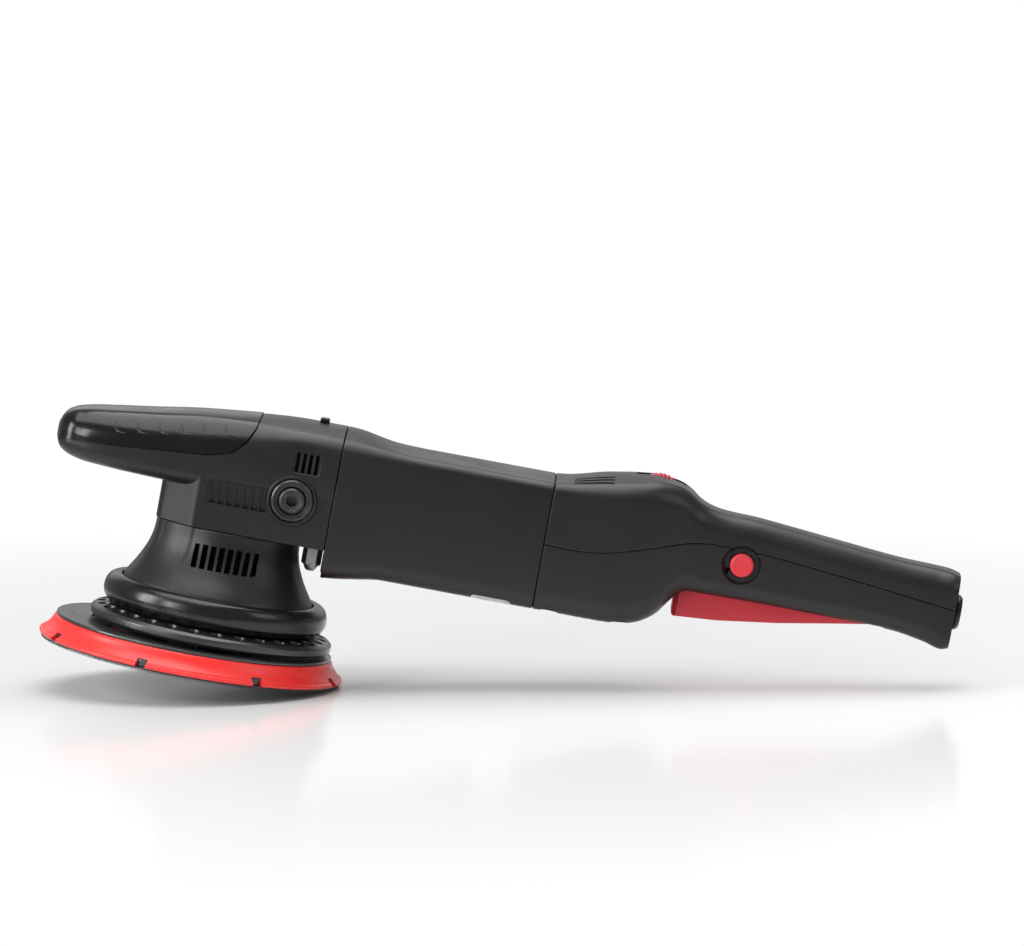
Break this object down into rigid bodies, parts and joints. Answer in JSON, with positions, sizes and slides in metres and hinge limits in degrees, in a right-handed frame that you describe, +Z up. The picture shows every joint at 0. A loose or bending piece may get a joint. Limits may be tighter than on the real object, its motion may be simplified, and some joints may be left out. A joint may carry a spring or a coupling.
{
  "type": "dual action polisher",
  "caption": "Corded dual action polisher: round red backing plate on an orbiting head, motor body and rear handle with a squeeze trigger.",
  "frame": {"origin": "centre of the backing plate's working face, plate at the front of its orbit", "axes": "+X from the head to the rear handle, +Z up along the spindle, so the pad face looks down -Z"},
  "size_m": [0.4486, 0.15, 0.1322],
  "materials": {
    "black_plastic": "fine-grained moulded ABS, low sheen",
    "grip_rubber": "over-moulded soft rubber, semi-gloss",
    "boot_rubber": "smooth rubber, soft sheen",
    "black_nylon": "glass-filled nylon, satin",
    "red_foam": "skinned polyurethane foam, soft gloss",
    "hook_fabric": "moulded hook tape",
    "red_plastic": "moulded ABS, satin",
    "cast_aluminium": "die cast",
    "steel": "ground steel",
    "dark_steel": "blackened steel",
    "copper": "copper",
    "brass": "rolled brass",
    "carbon": "carbon brush block",
    "white_plastic": "natural nylon",
    "foil_label": "foil sticker, blank"
  },
  "bodies": {
    "housing": {"head_cover": "black_plastic", "nose_grip": "grip_rubber", "top_bumper": "grip_rubber", "bell_shroud": "black_plastic", "rubber_boot": "boot_rubber", "vent_ring": "black_nylon", "motor_housing": "black_plastic", "rating_plate": "foil_label", "tail_upper_shell": "black_plastic", "tail_lower_shell": "black_plastic", "tail_screw_1": "dark_steel", "tail_screw_2": "dark_steel", "tail_screw_3": "dark_steel", "tail_screw_4": "dark_steel", "cord_gland": "grip_rubber", "cord_clamp": "black_nylon", "handle_boss_left": "dark_steel", "handle_boss_right": "dark_steel", "handle_plug_left": "dark_steel", "handle_plug_right": "dark_steel", "gear_case": "cast_aluminium", "gear_case_cover": "cast_aluminium", "spindle_bearing_lower": "steel", "spindle_bearing_upper": "steel", "lock_collar": "cast_aluminium", "stator_core": "dark_steel", "field_coils": "copper", "motor_bearing_front": "steel", "motor_bearing_rear": "steel", "bearing_bridge": "black_nylon", "brush_holder_left": "brass", "brush_holder_right": "brass", "carbon_brush_left": "carbon", "carbon_brush_right": "carbon", "trigger_pin": "steel", "trigger_spring": "steel", "switch_body": "black_nylon", "speed_controller": "black_nylon", "dial_axle": "steel"},
    "eccentric": {"eccentric_hub": "dark_steel", "spindle": "steel", "crown_gear": "dark_steel", "plate_bearing_lower": "steel", "plate_bearing_upper": "steel"},
    "plate": {"plate_spindle": "steel", "plate_hub": "steel", "plate_top": "black_nylon", "plate_foam": "red_foam", "plate_hook_face": "hook_fabric"},
    "armature": {"armature_shaft": "steel", "pinion": "steel", "armature_core": "dark_steel", "commutator": "copper", "cooling_fan": "white_plastic"},
    "trigger": {"trigger": "red_plastic"},
    "switch_plunger": {"switch_plunger": "white_plastic"},
    "lock_button": {"lock_button": "red_plastic"},
    "speed_dial": {"speed_dial": "red_plastic"},
    "shaft_lock": {"lock_pin": "steel"}
  },
  "joints": [
    {"name": "crown_spin", "type": "hinge", "parent": "housing", "child": "eccentric", "pos_m": [0.0075, 0, 0.0892], "axis": [0, 0, 1], "continuous": true},
    {"name": "plate_spin", "type": "hinge", "parent": "eccentric", "child": "plate", "pos_m": [0, 0, 0.02], "axis": [0, 0, 1], "continuous": true},
    {"name": "armature_spin", "type": "hinge", "parent": "housing", "child": "armature", "pos_m": [0.0075, 0, 0.0892], "axis": [1, 0, 0], "continuous": true},
    {"name": "trigger_pull", "type": "hinge", "parent": "housing", "child": "trigger", "pos_m": [0.3255, 0, 0.0855], "axis": [0, 1, 0], "range_deg": [0, 4.5], "stiffness_Nm_per_rad": 7.5, "springref_deg": -2.86, "deforming": ["trigger_spring"]},
    {"name": "switch_plunger_press", "type": "slide", "parent": "housing", "child": "switch_plunger", "axis": [0, 0, 1], "range_m": [0, 0.0063]},
    {"name": "lock_button_press", "type": "slide", "parent": "housing", "child": "lock_button", "axis": [0, 1, 0], "range_m": [0, 0.003], "stiffness_N_per_m": 700, "springref_m": -0.002},
    {"name": "speed_dial_turn", "type": "hinge", "parent": "housing", "child": "speed_dial", "pos_m": [0.211, 0, 0.1208], "axis": [0, 1, 0], "range_deg": [-135, 135]},
    {"name": "shaft_lock_press", "type": "slide", "parent": "housing", "child": "shaft_lock", "axis": [0, 0, 1], "range_m": [0, 0.003], "stiffness_N_per_m": 900, "springref_m": -0.002}
  ],
  "couplings": [
    {"joint": "armature_spin", "follows": "crown_spin", "ratio": 4},
    {"joint": "switch_plunger_press", "follows": "trigger_pull", "m_per_rad": 0.079}
  ]
}
